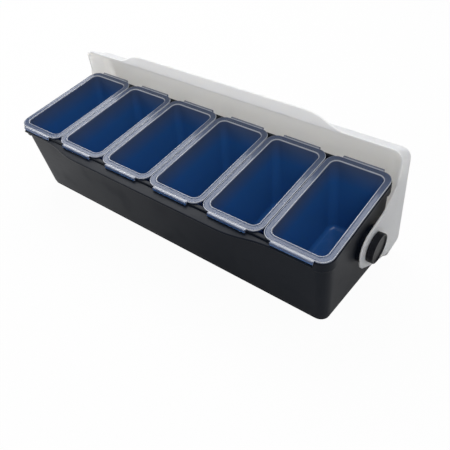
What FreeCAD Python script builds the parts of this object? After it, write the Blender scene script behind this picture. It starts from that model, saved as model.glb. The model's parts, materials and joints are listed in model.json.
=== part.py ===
import FreeCAD
import Part
import Sketcher
import math
import os
import re

INSERT_COUNT = 6
NEAR = 1e-4
MINUS_X = FreeCAD.Vector(-1, 0, 0)
PLUS_X = FreeCAD.Vector(1, 0, 0)
PLUS_Z = FreeCAD.Vector(0, 0, 1)

# Independent sizes, in millimetres and degrees.
DRIVING = [
    ("rim_slope", 11.5, "tilt of the rim plane, rising to the back"),
    ("tub_depth", 114.6, "base centre to rim centre, along the rim normal"),
    ("tub_wall", 2.8, "wall thickness of the tub"),
    ("tub_floor", 3.0, "floor thickness above the plinth"),
    ("tub_corner", 13.0, "corner radius of the wall at the rim"),
    ("base_corner", 12.0, "corner radius of the wall at the base"),
    ("foot_inset", 3.5, "draw-in of each wall from rim to base"),
    ("plinth_height", 3.0, "height of the plinth the tub stands on"),
    ("plinth_inset", 1.2, "step from the wall in to the plinth"),
    ("rim_width", 5.0, "flat rim from the mouth to its outer edge"),
    ("rim_thickness", 3.0, "thickness of the rim"),
    ("rim_ledge", 4.0, "overlap of an insert flange on the rim"),
    ("lip_reach", 13.0, "front lip beyond the rim edge, middle part"),
    ("lip_end_reach", 4.0, "front lip beyond the rim edge, end parts"),
    ("lip_tail", 38.0, "length of each narrow end part of the lip"),
    ("lip_run", 70.0, "length of each curve between lip parts"),
    ("lip_drop", 2.0, "lip top below the rim top"),
    ("lip_thickness", 2.6, "thickness of the lip"),
    ("skirt_front", 16.0, "length of a corner skirt along the front"),
    ("skirt_side", 27.5, "length of a corner skirt along the end"),
    ("skirt_depth", 13.0, "depth of a corner skirt"),
    ("skirt_slant", 9.5, "slanted end of a corner skirt"),
    ("insert_mouth_width", 61.0, "opening of an insert, along the row"),
    ("insert_mouth_length", 125.0, "opening of an insert, front to back"),
    ("insert_mouth_corner", 8.0, "corner radius of the opening"),
    ("insert_floor_corner", 10.0, "corner radius of the insert floor"),
    ("insert_floor_gap", 12.888, "insert underside, lowest edge, above the tub floor"),
    ("insert_wall", 1.8, "wall and floor thickness of an insert"),
    ("insert_side_inset", 7.5, "draw-in of the side walls to the floor"),
    ("insert_end_inset", 16.5, "draw-in of the front and back walls to the floor"),
    ("flange_width", 7.0, "width of the insert flange"),
    ("flange_corner", 13.0, "outer corner radius of the insert flange"),
    ("flange_thickness", 2.2, "thickness of the insert flange"),
    ("insert_gap", 1.0, "gap between neighbouring flanges"),
    ("tab_length", 47.0, "length of the hooked tabs"),
    ("tab_thickness", 1.9, "thickness of the hooked tabs"),
    ("tab_clearance", 0.7, "tab to rim edge"),
    ("tab_drop", 1.6, "tab lower edge below the rim top"),
    ("pivot_back", 15.9, "hinge axis behind the rim centre, along the slope"),
    ("pivot_drop", 51.5, "hinge axis below the rim top"),
    ("boss_diameter", 42.0, "hinge boss on the end wall"),
    ("boss_standoff", 1.0, "boss face beyond the rim edge"),
    ("lid_wall", 2.2, "wall thickness of the lid"),
    ("lid_corner", 12.0, "outside fold radius of the lid"),
    ("lid_setback", 0.1, "closed lid front edge behind the rim front edge"),
    ("lid_seat_gap", 0.3, "closed lid edge above the insert flanges"),
    ("lid_front_lean", 20.0, "lean of the lid front wall"),
    ("swing_clearance", 4.4, "top panel past the rear tabs while it turns"),
    ("crown_overhang", 18.7, "rear fold behind the rim back edge"),
    ("tail_run", 2.0, "lean of the lid rear wall"),
    ("tail_drop", 37.3, "height of the lid rear wall"),
    ("stop_gap", 0.4, "open tail edge to the tub back wall"),
    ("cheek_drop", 4.2, "cheek edge below the fold line at the shoulder"),
    ("shoulder_reach", 45.0, "shoulder of the hinge tab, forward of the axis"),
    ("neck_reach", 29.5, "neck of the hinge tab, forward of the axis"),
    ("neck_rise", 24.0, "neck of the hinge tab, above the axis"),
    ("ear_front", 27.0, "hinge tab forward of the axis"),
    ("ear_below", 26.5, "hinge tab below the axis"),
    ("ear_heel", 10.0, "end of the flat tab bottom behind the axis"),
    ("ear_back", 36.0, "hinge tab behind the axis"),
    ("ear_back_rise", 3.0, "height of the tab rear corner above the axis"),
    ("ear_round", 20.0, "corner radius of the hinge tab"),
    ("finger_reach", 14.4, "finger lip beyond the lid front wall"),
    ("finger_half_flat", 118.0, "half length of the straight finger lip"),
    ("finger_run", 57.0, "length of each curved finger lip end"),
    ("finger_thickness", 2.2, "thickness of the finger lip"),
    ("bush_flange", 0.8, "thickness of the bush flange"),
    ("bush_flange_diameter", 24.0, "bush flange"),
    ("bush_diameter", 12.0, "bush barrel the lid turns on"),
    ("bush_play", 0.3, "end play of the lid on the bush, each side"),
    ("hinge_clearance", 0.08, "radial running clearance of the lid hole"),
    ("stud_diameter", 6.0, "hinge stud"),
    ("stud_fit", 0.03, "radial fit of the stud in its bores"),
    ("stud_in_knob", 5.0, "stud length held by the knob"),
    ("stud_in_boss", 5.2, "stud length held by the boss"),
    ("thread_insert_diameter", 9.0, "brass insert in the boss"),
    ("thread_insert_length", 5.8, "brass insert in the boss"),
    ("thread_insert_fit", 0.02, "radial fit of the brass insert"),
    ("knob_diameter", 34.0, "hinge knob"),
    ("knob_length", 7.7, "hinge knob, along the axis"),
    ("knob_rim", 1.6, "raised rim round the knob face"),
    ("knob_dish", 1.4, "dish of the knob face"),
    ("knob_round", 0.7, "edge radius of the knob"),
]

# Sizes that follow from the ones above.
DERIVED = [
    ("insert_floor_half", "insert_mouth_length / 2 - insert_end_inset + insert_wall"),
    ("insert_stack", "plinth_height + tub_floor + insert_floor_gap + insert_floor_half * sin(rim_slope)"),
    ("insert_depth", "tub_depth + flange_thickness - insert_wall - insert_stack / cos(rim_slope)"),
    ("insert_pitch", "insert_mouth_width + 2 * flange_width + insert_gap"),
    ("flange_half_width", "insert_mouth_width / 2 + flange_width"),
    ("flange_half_length", "insert_mouth_length / 2 + flange_width"),
    ("mouth_half_x", f"({INSERT_COUNT} * insert_pitch - insert_gap) / 2 - rim_ledge"),
    ("mouth_half_y", "flange_half_length - rim_ledge"),
    ("mouth_corner", "tub_corner - tub_wall"),
    ("rim_half_x", "mouth_half_x + rim_width"),
    ("rim_half_y", "mouth_half_y + rim_width"),
    ("rim_corner", "mouth_corner + rim_width"),
    ("wall_half_x", "mouth_half_x + tub_wall"),
    ("wall_half_y", "mouth_half_y + tub_wall"),
    ("base_half_x", "wall_half_x - foot_inset"),
    ("base_half_y", "(wall_half_y - foot_inset) / cos(rim_slope)"),
    ("rim_y", "-tub_depth * sin(rim_slope)"),
    ("rim_z", "tub_depth * cos(rim_slope)"),
    ("pivot_y", "rim_y + pivot_back * cos(rim_slope) + pivot_drop * sin(rim_slope)"),
    ("pivot_z", "rim_z + pivot_back * sin(rim_slope) - pivot_drop * cos(rim_slope)"),
    ("lip_half_length", "rim_half_x - skirt_front + 0.5"),
    ("tab_inner", "rim_half_y + tab_clearance"),
    ("tab_outer", "tab_inner + tab_thickness"),
    ("boss_face", "rim_half_x + boss_standoff"),
    ("lid_inner_x", "boss_face + bush_flange + bush_play"),
    ("lid_outer_x", "lid_inner_x + lid_wall"),
    ("knob_seat", "lid_outer_x + bush_play"),
    ("knob_face", "knob_seat + knob_length"),
    ("front_y", "lid_setback - rim_half_y - pivot_back"),
    ("front_z", "pivot_drop + flange_thickness + lid_seat_gap"),
    ("rear_tab_reach", "sqrt((tab_outer - pivot_back) ^ 2 + (flange_thickness + pivot_drop) ^ 2)"),
    ("panel_reach", "rear_tab_reach + swing_clearance + lid_wall"),
    ("brow_y", "front_y + lid_front_lean"),
    ("crown_y", "rim_half_y + crown_overhang - pivot_back"),
    ("tail_y", "crown_y + tail_run"),
    ("tail_z", "panel_reach - tail_drop"),
    ("tail_skin", "lid_wall * sqrt(tail_run ^ 2 + tail_drop ^ 2) / tail_drop"),
    ("stop_y", "tail_y - tail_skin"),
    ("stop_reach", "sqrt(stop_y ^ 2 + tail_z ^ 2)"),
    ("front_height", "panel_reach - front_z"),
    ("front_skin", "lid_wall * sqrt(lid_front_lean ^ 2 + front_height ^ 2) / front_height"),
    ("inner_brow_y", "brow_y + front_skin - lid_wall * lid_front_lean / front_height"),
    ("inner_crown_y", "crown_y - tail_skin + lid_wall * tail_run / tail_drop"),
    ("inner_top", "panel_reach - lid_wall"),
    ("foot_y", "base_half_y * cos(rim_slope) + plinth_height * sin(rim_slope)"),
    ("foot_z", "plinth_height * cos(rim_slope) - base_half_y * sin(rim_slope) - tub_depth"),
    ("back_lean", "(wall_half_y - foot_y) / (0 - foot_z)"),
    ("stop_plane", "wall_half_y - pivot_back - pivot_drop * back_lean + stop_gap"),
    ("stop_angle", "acos(stop_plane / (stop_reach * sqrt(1 + back_lean ^ 2))) / 1 deg"),
    ("open_swing", "(atan(tail_z / stop_y) + atan(back_lean)) / 1 deg + stop_angle"),
    ("shoulder_z", "front_z + (tail_z - front_z) * (0 - shoulder_reach - front_y) / (tail_y - front_y)"),
]

os.makedirs("parts", exist_ok=True)
doc = FreeCAD.newDocument("condiment_holder")
sheet = doc.addObject("Spreadsheet::Sheet", "Sizes")
NAMES = {row[0] for row in DRIVING} | {row[0] for row in DERIVED}


def bound(text):
    """Expression with each size name pointed at the sheet."""
    return re.sub(r"[a-z_]+", lambda word: f"Sizes.{word[0]}" if word[0] in NAMES else word[0], str(text))


def value(text):
    """Number that an expression of size names has now."""
    return float(sheet.evalExpression(bound(text)))


def fill_sheet():
    """Write the sizes, each with its alias and a note."""
    row = 1
    for name, number, note in DRIVING:
        sheet.set(f"A{row}", name)
        sheet.set(f"B{row}", str(number))
        sheet.setAlias(f"B{row}", name)
        sheet.set(f"C{row}", note)
        row += 1
    for name, formula in DERIVED:
        sheet.set(f"A{row}", name)
        sheet.set(f"B{row}", f"={formula}")
        sheet.setAlias(f"B{row}", name)
        doc.recompute()
        row += 1


def new_body(node):
    body = doc.addObject("PartDesign::Body", node)
    body.Label = node
    return body


def put(body, x="0", y="rim_y", z="rim_z", axis=PLUS_X, angle="rim_slope"):
    """Place a body by expressions, turned about one axis."""
    body.Placement = FreeCAD.Placement(FreeCAD.Vector(), FreeCAD.Rotation(axis, 1))
    for letter, text in (("x", x), ("y", y), ("z", z)):
        body.setExpression(f"Placement.Base.{letter}", bound(text))
    body.setExpression("Placement.Rotation.Angle", f"({bound(angle)}) * 1 deg")


def new_sketch(body, name, role, offset="0", across="0", tilt=None):
    """Sketch on an origin plane, moved along its normal and its second axis, and tilted."""
    sketch = body.newObject("Sketcher::SketchObject", name)
    plane = [item for item in body.Origin.OriginFeatures if item.Role == role][0]
    sketch.AttachmentSupport = (plane, [""])
    sketch.MapMode = "FlatFace"
    if tilt:
        sketch.AttachmentOffset = FreeCAD.Placement(FreeCAD.Vector(), FreeCAD.Rotation(MINUS_X, 1))
        sketch.setExpression("AttachmentOffset.Rotation.Angle", f"({bound(tilt)}) * 1 deg")
    sketch.setExpression("AttachmentOffset.Base.y", bound(across))
    sketch.setExpression("AttachmentOffset.Base.z", bound(offset))
    return sketch


def arc_between(start, end, radius, left):
    """Minor arc from start to end, bulging so that it turns left or right."""
    chord = end - start
    side = PLUS_Z.cross(chord).normalize() * (1 if left else -1)
    centre = (start + end) * 0.5 + side * math.sqrt(max(radius ** 2 - chord.Length ** 2 / 4, 0.0))
    first, last = (start, end) if left else (end, start)
    angles = [math.atan2(point.y - centre.y, point.x - centre.x) for point in (first, last)]
    return Part.ArcOfCircle(Part.Circle(centre, PLUS_Z, radius), *angles)


def draw(sketch, corners):
    """Closed outline; each corner is (x, y) or (x, y, radius, left) for an arc to the next one."""
    points = [FreeCAD.Vector(value(corner[0]), value(corner[1]), 0) for corner in corners]
    ends = []
    for index, corner in enumerate(corners):
        start = points[index]
        end = points[(index + 1) % len(points)]
        if len(corner) == 2:
            geometry = sketch.addGeometry(Part.LineSegment(start, end))
            ends.append((geometry, 1, 2))
        else:
            geometry = sketch.addGeometry(arc_between(start, end, value(corner[2]), corner[3]))
            ends.append((geometry, 1, 2) if corner[3] else (geometry, 2, 1))
    for index, corner in enumerate(corners):
        geometry, start, end = ends[index]
        follower = ends[(index + 1) % len(corners)]
        sketch.addConstraint(Sketcher.Constraint("Coincident", geometry, end, follower[0], follower[1]))
        limits = [("DistanceX", corner[0], points[index].x), ("DistanceY", corner[1], points[index].y)]
        for kind, text, number in limits:
            added = sketch.addConstraint(Sketcher.Constraint(kind, -1, 1, geometry, start, number))
            sketch.setExpression(f"Constraints[{added}]", bound(text))
        if len(corner) == 4:
            added = sketch.addConstraint(Sketcher.Constraint("Radius", geometry, value(corner[2])))
            sketch.setExpression(f"Constraints[{added}]", bound(corner[2]))
    return sketch


def rounded(sketch, half_x, half_y, radius):
    """Rounded rectangle about the sketch origin."""
    corners = []
    for sign_x, sign_y in ((1, -1), (1, 1), (-1, 1), (-1, -1)):
        along = (f"{sign_x} * (({half_x}) - ({radius}))", f"{sign_y} * ({half_y})")
        aside = (f"{sign_x} * ({half_x})", f"{sign_y} * (({half_y}) - ({radius}))")
        first, second = (along, aside) if sign_x * sign_y < 0 else (aside, along)
        corners.append((*first, f"({radius})", True))
        corners.append(second)
    return draw(sketch, corners)


def circle(sketch, x, y, radius):
    geometry = sketch.addGeometry(Part.Circle(FreeCAD.Vector(value(x), value(y), 0), PLUS_Z, value(radius)))
    limits = [
        (Sketcher.Constraint("DistanceX", -1, 1, geometry, 3, value(x)), x),
        (Sketcher.Constraint("DistanceY", -1, 1, geometry, 3, value(y)), y),
        (Sketcher.Constraint("Radius", geometry, value(radius)), radius),
    ]
    for constraint, text in limits:
        added = sketch.addConstraint(constraint)
        sketch.setExpression(f"Constraints[{added}]", bound(text))
    return sketch


def feature(body, kind, sketch, length=None, symmetric=False, backwards=False):
    """Pad or pocket of a sketch."""
    made = body.newObject(f"PartDesign::{kind}", f"{sketch.Name}_{kind}")
    made.Profile = sketch
    made.SideType = "Symmetric" if symmetric else "One side"
    made.Reversed = backwards
    made.setExpression("Length", bound(length))
    return made


def loft(body, kind, first, second):
    """Ruled loft between two sketches."""
    made = body.newObject(f"PartDesign::{kind}Loft", f"{second.Name}_loft")
    made.Profile = first
    made.Sections = [second]
    made.Ruled = True
    return made


def dress(body, kind, base, wanted, **sizes):
    """Fillet or chamfer of the edges that a test picks."""
    doc.recompute()
    edges = [f"Edge{i + 1}" for i, edge in enumerate(base.Shape.Edges) if wanted(edge)]
    made = body.newObject(f"PartDesign::{kind}", f"{base.Name}_{kind}")
    made.Base = (base, edges)
    for name, text in sizes.items():
        made.setExpression(name, bound(text))
    return made


def wavy(inner, near, far, half_flat, run, half_end):
    """Lip outline in x and y: deep in the middle, curving in to a shallow end each side."""
    turn = f"((({run}) ^ 2 + (({far}) - ({near})) ^ 2) / (4 * (({far}) - ({near}))))"
    middle = f"-(({near}) + ({far})) / 2"
    bend = f"(({half_flat}) + ({run}) / 2)"
    outer = f"(({half_flat}) + ({run}))"
    return [
        (f"-({half_end})", f"-({inner})"),
        (f"-({half_end})", f"-({near})"),
        (f"-{outer}", f"-({near})", turn, False),
        (f"-{bend}", middle, turn, True),
        (f"-({half_flat})", f"-({far})"),
        (half_flat, f"-({far})", turn, True),
        (bend, middle, turn, False),
        (outer, f"-({near})"),
        (half_end, f"-({near})"),
        (half_end, f"-({inner})"),
    ]


def on_base(body, name, height):
    """Sketch parallel to the table, at a height above it, in the tub's sloping frame."""
    return new_sketch(
        body, name, "XY_Plane",
        offset=f"({height}) * cos(rim_slope) - tub_depth",
        across=f"({height}) * sin(rim_slope)",
        tilt="rim_slope",
    )


def build_tub():
    """Trough with a sloping rim; its frame lies on the rim plane."""
    body = new_body("tub")
    put(body)
    foot = rounded(on_base(body, "tub_foot", "plinth_height"), "base_half_x", "base_half_y", "base_corner")
    brim = rounded(new_sketch(body, "tub_brim", "XY_Plane"), "wall_half_x", "wall_half_y", "tub_corner")
    loft(body, "Additive", foot, brim)

    plinth = on_base(body, "tub_plinth", "0")
    rounded(plinth, "base_half_x - plinth_inset", "base_half_y - plinth_inset", "base_corner - plinth_inset")
    feature(body, "Pad", plinth, "plinth_height + tub_floor / 2")

    rim = rounded(new_sketch(body, "tub_rim", "XY_Plane"), "rim_half_x", "rim_half_y", "rim_corner")
    feature(body, "Pad", rim, "rim_thickness", backwards=True)

    lip = new_sketch(body, "tub_lip", "XY_Plane", offset="-lip_drop")
    flat = "lip_half_length - lip_tail - lip_run"
    far = "rim_half_y + lip_reach"
    near = "rim_half_y + lip_end_reach"
    draw(lip, wavy("mouth_half_y + tub_wall / 2", near, far, flat, "lip_run", "lip_half_length"))
    feature(body, "Pad", lip, "lip_thickness", backwards=True)

    skirt = new_sketch(body, "tub_skirt", "XY_Plane")
    for sign_x, sign_y in ((1, -1), (1, 1), (-1, 1), (-1, -1)):
        draw(skirt, [
            (f"{sign_x} * (rim_half_x - skirt_front)", f"{sign_y} * rim_half_y"),
            (f"{sign_x} * (rim_half_x - rim_corner)", f"{sign_y} * rim_half_y", "rim_corner", sign_x * sign_y < 0),
            (f"{sign_x} * rim_half_x", f"{sign_y} * (rim_half_y - rim_corner)"),
            (f"{sign_x} * rim_half_x", f"{sign_y} * (rim_half_y - skirt_side)"),
            (f"{sign_x} * (rim_half_x - skirt_front)", f"{sign_y} * (rim_half_y - skirt_side)"),
        ])
    skirts = feature(body, "Pad", skirt, "skirt_depth", backwards=True)

    def skirt_end(edge):
        return all(
            abs(point.Z + value("skirt_depth")) < NEAR
            and abs(abs(point.Y) - value("rim_half_y - skirt_side")) < NEAR
            for point in edge.Vertexes
        )

    dress(body, "Chamfer", skirts, skirt_end, Size="skirt_slant")

    boss = new_sketch(body, "tub_boss", "YZ_Plane")
    circle(boss, "pivot_back", "-pivot_drop", "boss_diameter / 2")
    feature(body, "Pad", boss, "2 * boss_face", symmetric=True)

    floor = on_base(body, "tub_hollow_floor", "plinth_height + tub_floor")
    rounded(floor, "base_half_x - tub_wall", "base_half_y - tub_wall", "base_corner - tub_wall")
    mouth = rounded(new_sketch(body, "tub_mouth", "XY_Plane"), "mouth_half_x", "mouth_half_y", "mouth_corner")
    loft(body, "Subtractive", floor, mouth)

    for side, sign, backwards in (("left", -1, True), ("right", 1, False)):
        bore = new_sketch(body, f"tub_bore_{side}", "YZ_Plane", offset=f"{sign} * boss_face")
        circle(bore, "pivot_back", "-pivot_drop", "thread_insert_diameter / 2 + thread_insert_fit")
        feature(body, "Pocket", bore, "thread_insert_length", backwards=backwards)
    return body


def build_insert(number):
    """Lift-out pan; its frame lies on the rim plane at the middle of the pan."""
    node = f"insert_{number}"
    body = new_body(node)
    put(body, x=f"({number - (INSERT_COUNT + 1) / 2}) * insert_pitch")

    flange = new_sketch(body, f"{node}_flange", "XY_Plane")
    rounded(flange, "flange_half_width", "flange_half_length", "flange_corner")
    feature(body, "Pad", flange, "flange_thickness")

    under = new_sketch(body, f"{node}_under", "XY_Plane", offset="flange_thickness - insert_depth - insert_wall")
    rounded(
        under,
        "insert_mouth_width / 2 - insert_side_inset + insert_wall",
        "insert_floor_half",
        "insert_floor_corner + insert_wall",
    )
    collar = new_sketch(body, f"{node}_collar", "XY_Plane")
    rounded(
        collar,
        "insert_mouth_width / 2 + insert_wall",
        "insert_mouth_length / 2 + insert_wall",
        "insert_mouth_corner + insert_wall",
    )
    loft(body, "Additive", under, collar)

    for side, sign in (("front", -1), ("back", 1)):
        tab = new_sketch(body, f"{node}_tab_{side}", "YZ_Plane")
        draw(tab, [
            (f"{sign} * (flange_half_length - flange_width / 2)", "0"),
            (f"{sign} * (flange_half_length - flange_width / 2)", "flange_thickness"),
            (f"{sign} * tab_outer", "flange_thickness"),
            (f"{sign} * tab_outer", "-tab_drop"),
            (f"{sign} * tab_inner", "-tab_drop"),
            (f"{sign} * tab_inner", "0"),
        ])
        feature(body, "Pad", tab, "tab_length", symmetric=True)

    floor = new_sketch(body, f"{node}_floor", "XY_Plane", offset="flange_thickness - insert_depth")
    rounded(
        floor,
        "insert_mouth_width / 2 - insert_side_inset",
        "insert_mouth_length / 2 - insert_end_inset",
        "insert_floor_corner",
    )
    mouth = new_sketch(body, f"{node}_mouth", "XY_Plane", offset="flange_thickness")
    rounded(mouth, "insert_mouth_width / 2", "insert_mouth_length / 2", "insert_mouth_corner")
    loft(body, "Subtractive", floor, mouth)
    return body


def lid_folds(half_length, heights):
    """Test for the edges of the lid that meet one of its two folds, at one skin."""
    def wanted(edge):
        on_skin = all(abs(point.X) < half_length + NEAR for point in edge.Vertexes)
        return on_skin and any(abs(point.Y - fold) < NEAR for point in edge.Vertexes for fold in heights)

    return wanted


def build_lid():
    """One moulding about the hinge axis, drawn closed and placed standing open on its stop."""
    body = new_body("lid")
    put(body, y="pivot_y", z="pivot_z", axis=MINUS_X, angle="open_swing - rim_slope")
    profile = new_sketch(body, "lid_profile", "YZ_Plane")
    draw(profile, [
        ("front_y", "front_z"),
        ("tail_y", "tail_z"),
        ("crown_y", "panel_reach"),
        ("brow_y", "panel_reach"),
    ])
    feature(body, "Pad", profile, "2 * lid_outer_x", symmetric=True)

    space = new_sketch(body, "lid_space", "YZ_Plane")
    draw(space, [
        ("front_y + front_skin - lid_front_lean / 2", "front_z - front_height / 2"),
        ("stop_y + tail_run / 2", "tail_z - tail_drop / 2"),
        ("inner_crown_y", "inner_top"),
        ("inner_brow_y", "inner_top"),
    ])
    hollow = feature(body, "Pocket", space, "2 * lid_inner_x", symmetric=True)
    inside = lid_folds(value("lid_inner_x"), (value("inner_crown_y"), value("inner_brow_y")))
    smooth = dress(body, "Fillet", hollow, inside, Radius="lid_corner - lid_wall")
    outside = lid_folds(value("lid_outer_x"), (value("crown_y"), value("brow_y")))
    dress(body, "Fillet", smooth, outside, Radius="lid_corner")

    ear = [
        ("front_y + lid_corner", "front_z + lid_wall"),
        ("-shoulder_reach", "shoulder_z - cheek_drop"),
        ("-neck_reach", "neck_rise"),
        ("-ear_front", "-ear_below"),
        ("ear_heel", "-ear_below"),
        ("ear_back", "ear_back_rise"),
        ("stop_y", "tail_z"),
        ("stop_y", "tail_z + lid_corner"),
        ("-shoulder_reach", "shoulder_z + lid_corner"),
    ]
    for side, near_x in (("left", "-lid_outer_x"), ("right", "lid_inner_x")):
        outline = draw(new_sketch(body, f"lid_ear_{side}", "YZ_Plane", offset=near_x), ear)
        plate = feature(body, "Pad", outline, "lid_wall")
        corners = (("-ear_front", "-ear_below"), ("ear_heel", "-ear_below"), ("-neck_reach", "neck_rise"))
        dress(body, "Fillet", plate, ear_corner(near_x, corners), Radius="ear_round")

    finger = new_sketch(body, "lid_finger", "XY_Plane", offset="front_z")
    draw(finger, wavy(
        "0 - front_y - lid_wall", "0 - front_y - lid_wall / 2", "finger_reach - front_y",
        "finger_half_flat", "finger_run", "finger_half_flat + finger_run + lid_wall"))
    feature(body, "Pad", finger, "finger_thickness")

    hole = new_sketch(body, "lid_hole", "YZ_Plane")
    circle(hole, "0", "0", "bush_diameter / 2 + hinge_clearance")
    feature(body, "Pocket", hole, "4 * lid_outer_x", symmetric=True)
    return body


def ear_corner(near_x, corners):
    """Test for the short edges through the plate at the given corners of one hinge tab."""
    spots = [FreeCAD.Vector(value(near_x), value(y), value(z)) for y, z in corners]

    def wanted(edge):
        ends = [point.Point for point in edge.Vertexes]
        along = abs(ends[0].x - ends[-1].x) > NEAR
        return along and any(end.distanceToPoint(spot) < NEAR for end in ends for spot in spots)

    return wanted


def build_turned(node, side, outline, round_radius=None):
    """Piece turned about the hinge axis; the left one is the right one turned round."""
    body = new_body(f"{node}_{side}")
    put(body, y="pivot_y", z="pivot_z", axis=PLUS_Z, angle="0" if side == "right" else "180")
    sketch = draw(new_sketch(body, f"{node}_{side}_outline", "XY_Plane"), outline)
    turned = body.newObject("PartDesign::Revolution", f"{node}_{side}_turned")
    turned.Profile = sketch
    turned.ReferenceAxis = (sketch, ["H_Axis"])
    turned.Angle = 360
    if round_radius:
        def outer(edge):
            is_circle = edge.Curve.TypeId == "Part::GeomCircle"
            return is_circle and abs(edge.Curve.Radius - value("knob_diameter / 2")) < NEAR

        dress(body, "Fillet", turned, outer, Radius=round_radius)
    return body


KNOB = [
    ("knob_seat", "stud_diameter / 2 + stud_fit"),
    ("knob_seat", "knob_diameter / 2"),
    ("knob_face", "knob_diameter / 2"),
    ("knob_face", "knob_diameter / 2 - knob_rim"),
    ("knob_face - knob_dish", "knob_diameter / 2 - knob_rim - knob_dish"),
    ("knob_face - knob_dish", "0"),
    ("knob_seat + stud_in_knob", "0"),
    ("knob_seat + stud_in_knob", "stud_diameter / 2 + stud_fit"),
]
STUD = [
    ("boss_face - stud_in_boss", "0"),
    ("boss_face - stud_in_boss", "stud_diameter / 2"),
    ("knob_seat + stud_in_knob", "stud_diameter / 2"),
    ("knob_seat + stud_in_knob", "0"),
]
BUSH = [
    ("boss_face", "stud_diameter / 2 + stud_fit"),
    ("boss_face", "bush_flange_diameter / 2"),
    ("boss_face + bush_flange", "bush_flange_diameter / 2"),
    ("boss_face + bush_flange", "bush_diameter / 2"),
    ("knob_seat", "bush_diameter / 2"),
    ("knob_seat", "stud_diameter / 2 + stud_fit"),
]
THREAD_INSERT = [
    ("boss_face - thread_insert_length", "stud_diameter / 2 + stud_fit"),
    ("boss_face - thread_insert_length", "thread_insert_diameter / 2"),
    ("boss_face", "thread_insert_diameter / 2"),
    ("boss_face", "stud_diameter / 2 + stud_fit"),
]


def build_all():
    fill_sheet()
    bodies = [build_tub()]
    bodies += [build_insert(number) for number in range(1, INSERT_COUNT + 1)]
    bodies.append(build_lid())
    for side in ("left", "right"):
        bodies.append(build_turned("hinge_knob", side, KNOB, "knob_round"))
        bodies.append(build_turned("hinge_stud", side, STUD))
        bodies.append(build_turned("hinge_bush", side, BUSH))
        bodies.append(build_turned("thread_insert", side, THREAD_INSERT))
    doc.recompute()
    for item in doc.Objects:
        if "Invalid" in item.State or "Error" in item.State:
            raise RuntimeError(f"{item.Name} did not compute: {item.State}")
    for body in bodies:
        if body.Shape.isNull() or not body.Shape.isValid() or len(body.Shape.Solids) != 1:
            raise RuntimeError(f"{body.Label} is not one valid solid")
        body.Shape.exportStep(f"parts/{body.Label}.step")


build_all()
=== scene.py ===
"""Looks of a long condiment holder: six tinted pans in a sloping black tub, under a milky hinged lid.

Sizes of the pieces are in millimetres until they are placed. The camera, lamps, floor and finishes are in metres.
"""
import json
import logging
import math
from dataclasses import dataclass
from enum import Enum

import bmesh
import bpy
import numpy as np
from mathutils import Matrix

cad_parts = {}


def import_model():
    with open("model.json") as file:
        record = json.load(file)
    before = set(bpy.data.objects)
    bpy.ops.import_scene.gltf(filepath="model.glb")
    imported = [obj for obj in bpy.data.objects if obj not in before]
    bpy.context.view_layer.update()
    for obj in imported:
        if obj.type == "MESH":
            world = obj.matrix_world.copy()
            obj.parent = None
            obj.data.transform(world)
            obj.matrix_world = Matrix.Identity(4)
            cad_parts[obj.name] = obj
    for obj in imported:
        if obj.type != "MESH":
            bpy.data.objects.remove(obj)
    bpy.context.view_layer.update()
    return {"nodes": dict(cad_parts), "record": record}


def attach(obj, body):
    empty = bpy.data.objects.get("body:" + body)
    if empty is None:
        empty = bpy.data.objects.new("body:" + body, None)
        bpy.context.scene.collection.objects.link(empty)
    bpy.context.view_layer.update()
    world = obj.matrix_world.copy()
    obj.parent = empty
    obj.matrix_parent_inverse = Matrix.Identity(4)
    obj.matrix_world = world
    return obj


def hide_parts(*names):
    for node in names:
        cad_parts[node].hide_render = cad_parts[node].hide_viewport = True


LOG = logging.getLogger("condiment_holder")
MM = 0.001
PAN_COUNT = 6
MERGE = 1e-6
SMOOTH_ANGLE = math.radians(38.0)
PIVOT_BACK = 15.9
PIVOT_DROP = 51.5
WHITE = (1.0, 1.0, 1.0, 1.0)
Colour = tuple[float, float, float]
Triple = tuple[float, float, float]
Pair = tuple[float, float]
Sockets = dict[str, str]
# Shares of a straight run at which it has points, closer together near its ends.
RUN_SHARES = np.array([0.02, 0.06, 0.25, 0.5, 0.75, 0.94, 0.98])
# Sockets of a colour mix node.
MIX_SHARE, MIX_FIRST, MIX_SECOND, MIX_RESULT = 0, 6, 7, 2


class Side(Enum):
    """The two ends of the row, as signs on x."""

    LEFT = -1
    RIGHT = 1


class End(Enum):
    """Front and back of a pan, as signs along the slope."""

    FRONT = -1
    BACK = 1


@dataclass(frozen=True)
class RimFrame:
    """Sloping frame on the rim, in millimetres: x along the row, t up the slope, n out of the rim."""

    slope: float = math.radians(11.5)
    depth: float = 114.6

    def place(self, x: np.ndarray, t: np.ndarray, n: np.ndarray) -> np.ndarray:
        """Carry rim coordinates into the shared frame.

        Args:
            x: distance along the row.
            t: distance up the slope from the rim centre.
            n: distance out of the rim plane.

        Returns:
            Points in metres: the rim centre plus t and n turned by the slope about x.
        """
        x, t, n = np.broadcast_arrays(x, t, n)
        across = t * math.cos(self.slope) - (n + self.depth) * math.sin(self.slope)
        height = t * math.sin(self.slope) + (n + self.depth) * math.cos(self.slope)
        return np.stack([x, across, height], axis=-1) * MM

    def read(self, points: np.ndarray) -> tuple[np.ndarray, np.ndarray, np.ndarray]:
        """Turn points of the shared frame back into rim coordinates.

        Args:
            points: points in metres.

        Returns:
            x, t and n in millimetres.
        """
        x, y, z = np.moveaxis(points / MM, -1, 0)
        t = y * math.cos(self.slope) + z * math.sin(self.slope)
        n = z * math.cos(self.slope) - y * math.sin(self.slope) - self.depth
        return x, t, n


RIM = RimFrame()


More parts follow.
